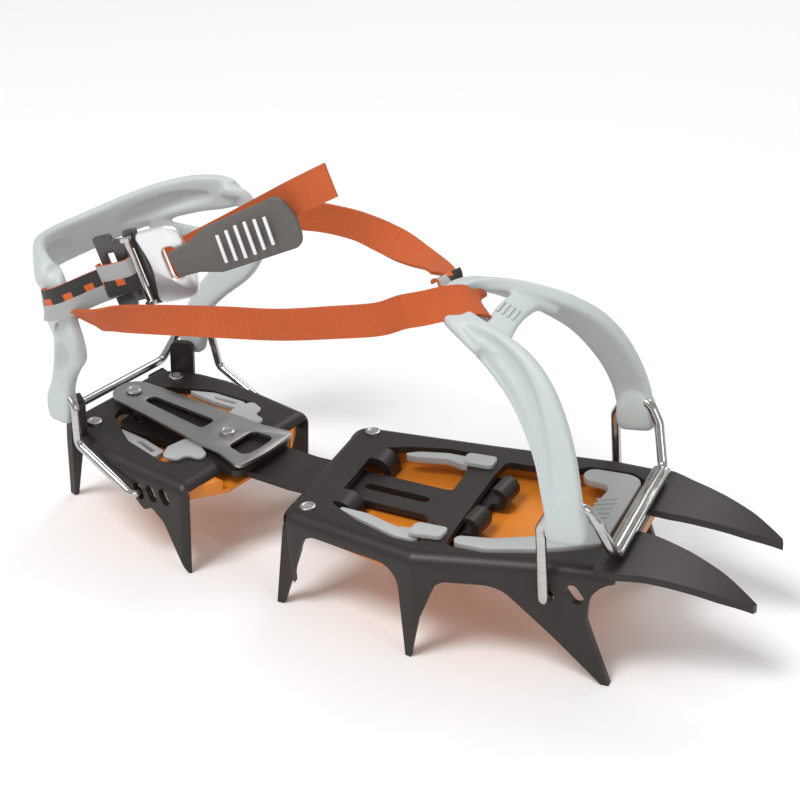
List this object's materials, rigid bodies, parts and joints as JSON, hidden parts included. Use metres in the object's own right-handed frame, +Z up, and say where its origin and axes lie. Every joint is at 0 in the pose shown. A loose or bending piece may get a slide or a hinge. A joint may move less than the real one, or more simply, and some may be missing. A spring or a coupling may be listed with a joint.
{
  "type": "crampon",
  "caption": "Semi-flexible strap-on crampon with front and heel frames, a linking bar, wire bails with moulded harnesses and a webbing strap with a ring buckle.",
  "frame": {"origin": "top of the front plate, midway between its two rear rivets", "axes": "+Z up from the ground that the points stand on, +X to the toe, +Y to the left"},
  "size_m": [0.3381, 0.1347, 0.2048],
  "materials": {
    "frame_steel": "satin dark coating",
    "bright_steel": "polished",
    "leaf_steel": "brushed",
    "rivet_steel": "turned",
    "snow_orange": "moulded",
    "snow_grey": "moulded",
    "harness_grey": "soft moulded",
    "webbing": "ribbed woven",
    "buckle_dark": "dark plate",
    "buckle_bright": "bead blasted",
    "keeper_web": "woven",
    "tab_grey": "matt"
  },
  "bodies": {
    "front_section": {"front_frame": "frame_steel", "front_rivets": "rivet_steel", "front_snow_plate": "snow_orange", "front_snow_nose": "snow_grey", "front_snow_clip_right": "snow_grey", "front_snow_clip_left": "snow_grey", "linking_bar": "frame_steel"},
    "toe_bail": {"toe_bail_wire": "bright_steel", "toe_harness": "harness_grey", "strap_toe_loop": "webbing"},
    "heel_section": {"heel_frame": "frame_steel", "heel_rivets": "rivet_steel", "heel_snow_plate": "snow_orange", "heel_snow_bridge": "snow_grey", "heel_snow_inlay_right": "snow_grey", "heel_snow_inlay_left": "snow_grey", "adjuster_rivet": "rivet_steel"},
    "adjuster": {"adjuster_leaf": "leaf_steel", "adjuster_stud": "rivet_steel"},
    "heel_bail": {"heel_bail_wire": "bright_steel", "heel_harness": "harness_grey", "strap_right_strand": "webbing", "strap_left_strand": "webbing", "strap_heel_wrap": "webbing", "strap_anchor": "webbing", "strap_cross": "webbing", "strap_tail": "webbing", "buckle_plate": "buckle_dark", "buckle_bracket": "bright_steel", "strap_keeper": "keeper_web"},
    "ring": {"buckle_ring": "buckle_bright"},
    "tab": {"pull_tab": "tab_grey"}
  },
  "joints": [
    {"name": "toe_bail_pivot", "type": "hinge", "parent": "front_section", "child": "toe_bail", "pos_m": [0.11221, 0, -0.00874], "axis": [0, 1, 0], "range_deg": [-35, 3], "deforming": ["strap_right_strand", "strap_left_strand"]},
    {"name": "heel_slide", "type": "slide", "parent": "front_section", "child": "heel_section", "axis": [0.9939, -0.1041, -0.0352], "range_m": [-0.04, 0.012], "deforming": ["strap_right_strand", "strap_left_strand", "adjuster_stud"]},
    {"name": "adjuster_lift", "type": "hinge", "parent": "heel_section", "child": "adjuster", "pos_m": [-0.11703, 0.02036, 0.00424], "axis": [-0.2419, -0.9703, 0], "range_deg": [0, 5], "stiffness_Nm_per_rad": 6, "springref_deg": -0.57},
    {"name": "heel_bail_pivot", "type": "hinge", "parent": "heel_section", "child": "heel_bail", "pos_m": [-0.07423, 0.00968, -0.01321], "axis": [0.2419, 0.9703, 0], "range_deg": [-7, 25], "deforming": ["strap_right_strand", "strap_left_strand"]},
    {"name": "buckle_ring_pivot", "type": "hinge", "parent": "heel_bail", "child": "ring", "pos_m": [-0.06998, -0.03796, 0.10032], "axis": [0.3238, 0.034, -0.9455], "range_deg": [0, 30]},
    {"name": "pull_tab_pivot", "type": "hinge", "parent": "ring", "child": "tab", "pos_m": [-0.05584, -0.03949, 0.10511], "axis": [0.3238, 0.034, -0.9455], "range_deg": [0, 50]}
  ]
}
